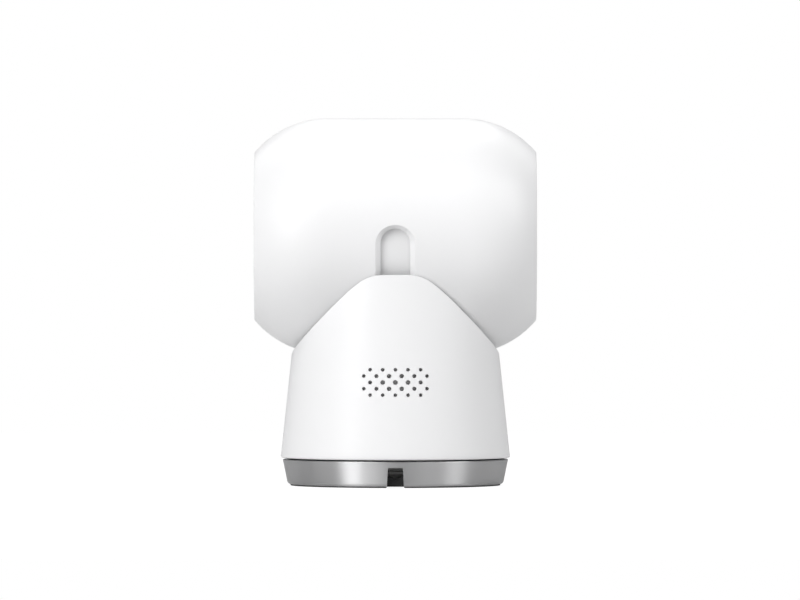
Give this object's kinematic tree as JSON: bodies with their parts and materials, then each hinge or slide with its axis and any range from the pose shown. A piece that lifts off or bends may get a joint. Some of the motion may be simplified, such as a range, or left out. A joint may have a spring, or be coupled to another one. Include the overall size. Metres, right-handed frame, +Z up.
{
  "type": "floodlight security camera",
  "caption": "Tabletop pan and tilt security camera: a white barrel head with a lens and floodlight windows tilts in a tapered body that turns on a satin metal base ring.",
  "frame": {"origin": "on the pan axis, in the plane of the rubber foot that the camera rests on", "axes": "+Z up along the pan axis, the lens looks along -Y, and the grille and cable notch face +Y"},
  "size_m": [0.08, 0.0652, 0.104],
  "materials": {
    "white_shell": "satin moulded plastic",
    "grey_shield": "satin moulded plastic",
    "satin_metal": "fine turned satin",
    "dark_plastic": "fine spark-eroded texture",
    "soft_rubber": "matt",
    "brass": "turned",
    "circuit_board": "solder mask",
    "plated_steel": "zinc plated",
    "shaft_steel": "ground",
    "button_grey": "satin",
    "gear_plastic": "acetal",
    "washer_fibre": "low friction plastic",
    "speaker_black": "matt",
    "grille_cloth": "fine woven mesh",
    "heatsink": "extruded",
    "card_black": "satin",
    "gloss_black": "high gloss",
    "lens_trim": "satin",
    "lens_glass": "coated",
    "lamp_lens": "clear tinted",
    "opal": "opal diffuser",
    "mirror_cup": "vacuum metallised",
    "white_board": "white solder mask"
  },
  "bodies": {
    "base": {"base_ring": "satin_metal", "base_cover": "dark_plastic", "base_chassis": "dark_plastic", "rubber_foot": "soft_rubber", "tripod_insert": "brass", "usb_board": "circuit_board", "usb_receptacle": "plated_steel", "cable_clip": "soft_rubber", "base_screws": "plated_steel", "pan_washer": "washer_fibre", "pan_gear": "gear_plastic", "hub_circlip": "plated_steel"},
    "reset_button": {"reset_button": "button_grey"},
    "camera_body": {"body_shell": "white_shell", "cradle": "white_shell", "body_floor": "white_shell", "body_screws": "plated_steel", "pan_motor": "plated_steel", "speaker_basket": "speaker_black", "speaker_cone": "speaker_black", "speaker_magnet": "plated_steel", "grille_cloth": "grille_cloth", "main_board": "circuit_board", "processor_heatsink": "heatsink", "card_socket": "plated_steel", "wifi_antenna": "circuit_board", "neck_bracket": "dark_plastic", "neck_screws": "plated_steel", "dust_shield": "grey_shield", "tilt_shaft": "shaft_steel", "tilt_gear": "gear_plastic", "shaft_circlips": "plated_steel", "friction_washers": "washer_fibre"},
    "pan_pinion": {"pan_pinion": "gear_plastic"},
    "memory_card": {"memory_card": "card_black"},
    "head": {"head_rear_shell": "white_shell", "head_front_shell": "white_shell", "front_bezel": "gloss_black", "lens_ring": "lens_trim", "lens_window": "lens_glass", "lens_barrel": "lens_trim", "lens_elements": "lens_glass", "lens_holder": "lens_trim", "sensor_board": "circuit_board", "infrared_board": "circuit_board", "infrared_lamps": "lamp_lens", "light_sensor": "lamp_lens", "status_light": "lamp_lens", "microphone": "brass", "light_diffusers": "opal", "light_reflectors": "mirror_cup", "light_boards": "white_board", "light_heatsinks": "heatsink", "head_chassis": "dark_plastic", "tilt_bushes": "brass", "tilt_motor": "plated_steel", "driver_board": "circuit_board", "head_screws": "plated_steel"},
    "tilt_pinion": {"tilt_pinion": "gear_plastic"}
  },
  "joints": [
    {"name": "pan_turn", "type": "hinge", "parent": "base", "child": "camera_body", "pos_m": [0, 0, 0.01], "axis": [0, 0, 1], "range_deg": [-175, 175]},
    {"name": "head_tilt", "type": "hinge", "parent": "camera_body", "child": "head", "pos_m": [0, -0.00675, 0.07055], "axis": [-1, 0, 0], "range_deg": [-25, 80]},
    {"name": "pan_pinion_spin", "type": "hinge", "parent": "camera_body", "child": "pan_pinion", "pos_m": [0, -0.015, 0.012], "axis": [0, 0, 1], "range_deg": [-560, 560]},
    {"name": "tilt_pinion_spin", "type": "hinge", "parent": "head", "child": "tilt_pinion", "pos_m": [0.0125, -0.00675, 0.08155], "axis": [-1, 0, 0], "range_deg": [-70, 218]},
    {"name": "reset_press", "type": "slide", "parent": "base", "child": "reset_button", "axis": [0, 0, 1], "range_m": [0, 0.0006], "stiffness_N_per_m": 400, "springref_m": -0.0006},
    {"name": "card_slide", "type": "slide", "parent": "camera_body", "child": "memory_card", "axis": [0, -1, 0], "range_m": [0, 0.012]}
  ],
  "couplings": [
    {"joint": "pan_pinion_spin", "follows": "pan_turn", "ratio": 3.1667},
    {"joint": "tilt_pinion_spin", "follows": "head_tilt", "ratio": 2.6667}
  ]
}
